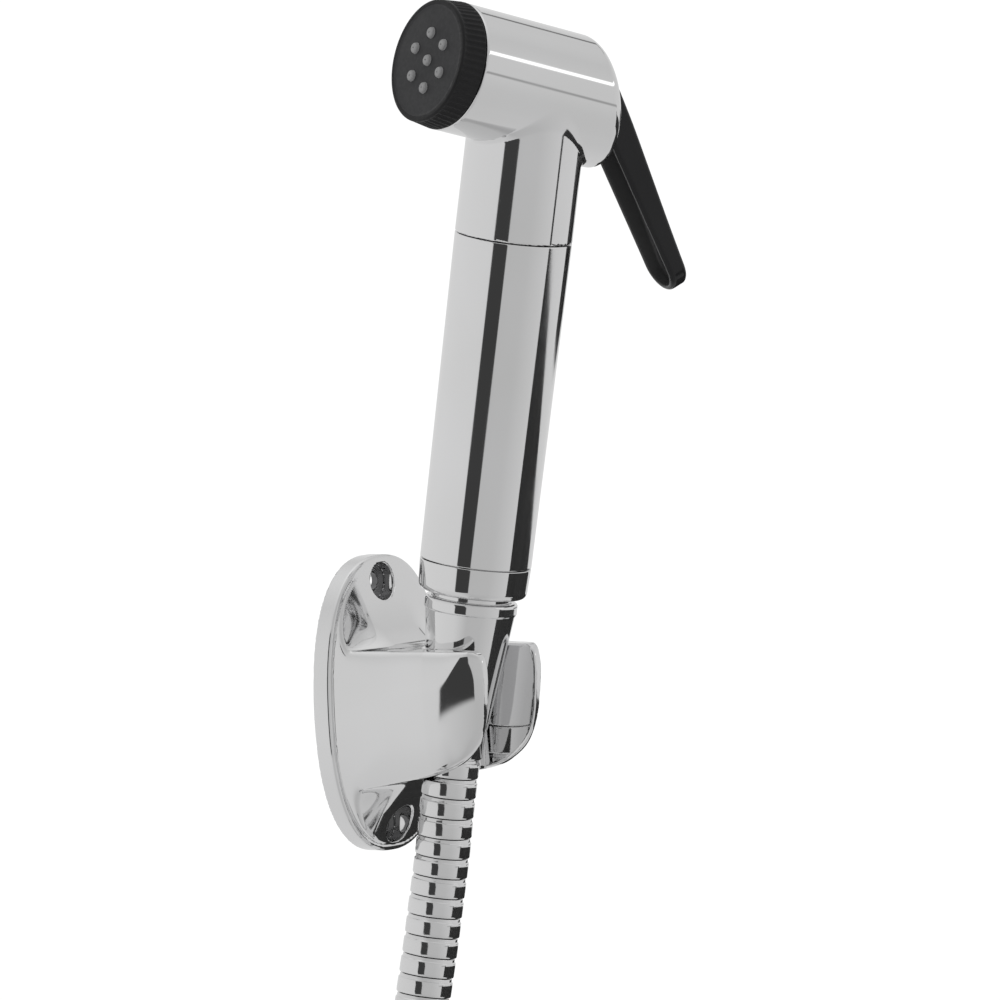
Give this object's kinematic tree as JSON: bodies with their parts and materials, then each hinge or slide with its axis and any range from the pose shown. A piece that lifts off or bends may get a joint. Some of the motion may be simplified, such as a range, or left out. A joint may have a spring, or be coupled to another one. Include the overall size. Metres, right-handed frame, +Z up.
{
  "type": "handheld bath sprayer",
  "caption": "Hand-held bath sprayer with a thumb lever and round spray face, hung in a wall holder on a ribbed metal hose stored as a coil.",
  "frame": {"origin": "on the wall plane, midway between the two screw holes of the holder", "axes": "+Z up, +Y into the wall, +X to the right of someone who faces the wall"},
  "size_m": [0.1937, 0.078, 0.5042],
  "materials": {
    "chrome_bracket": "polished chrome plate on moulded plastic",
    "chrome_fitting": "polished chrome plate on brass",
    "chrome_hose": "polished chrome on stainless strip",
    "chrome_handle": "polished chrome plate",
    "chrome_head": "polished chrome plate on a cast body",
    "steel": "stainless, fine brushed",
    "brass": "machined brass, unplated",
    "white_plastic": "plain moulded plastic",
    "black_plastic": "matt black moulded strap",
    "black_rubber": "matt black rubber",
    "black_lever": "gloss black moulded plastic",
    "dark_plastic": "satin dark grey moulded plastic",
    "grey_rubber": "soft mid grey rubber"
  },
  "bodies": {
    "holder": {"holder": "chrome_bracket"},
    "hose": {"hose_ferrule": "chrome_fitting", "hose_run": "chrome_hose", "hose_coil": "chrome_hose", "coil_ties": "black_plastic", "supply_ferrule": "chrome_fitting", "supply_washer": "black_rubber"},
    "handset": {"conical_nut": "chrome_fitting", "hose_washer": "black_rubber", "inlet_nipple": "chrome_fitting", "end_collar": "chrome_handle", "handle_tube": "chrome_handle", "water_tube": "white_plastic", "tube_orings": "black_rubber", "head_body": "chrome_head", "gland_nut": "brass", "valve_sleeve": "brass", "sleeve_oring": "black_rubber", "valve_spring": "steel", "flow_disc": "white_plastic", "filter_gauze": "steel", "cap_gasket": "black_rubber", "spray_cap": "dark_plastic", "nozzle_insert": "grey_rubber", "lever_pin": "steel"},
    "valve": {"valve_stem": "steel", "stem_oring": "black_rubber", "valve_washer": "black_rubber"},
    "lever": {"lever": "black_lever"},
    "supply_nut": {"supply_nut": "chrome_fitting"}
  },
  "joints": [
    {"name": "handset_lift", "type": "slide", "parent": "holder", "child": "hose", "axis": [0.0471, -0.1631, 0.9855], "range_m": [0, 0.045]},
    {"name": "handset_swivel", "type": "hinge", "parent": "hose", "child": "handset", "pos_m": [0, -0.0294, 0], "axis": [0.0471, -0.1631, 0.9855], "range_deg": [-60, 60]},
    {"name": "lever_squeeze", "type": "hinge", "parent": "handset", "child": "lever", "pos_m": [0.02179, -0.06231, 0.16638], "axis": [0.358, 0.9238, 0.1358], "range_deg": [0, 9], "stiffness_Nm_per_rad": 2, "springref_deg": -11.46},
    {"name": "valve_push", "type": "slide", "parent": "handset", "child": "valve", "axis": [-0.9076, 0.3101, 0.2831], "range_m": [0, 0.0013], "deforming": ["valve_spring"]},
    {"name": "supply_nut_spin", "type": "hinge", "parent": "hose", "child": "supply_nut", "pos_m": [-0.09097, -0.0481, -0.23048], "axis": [-0.3583, 0, 0.9336], "continuous": true}
  ],
  "couplings": [
    {"joint": "valve_push", "follows": "lever_squeeze", "m_per_rad": 0.008}
  ]
}
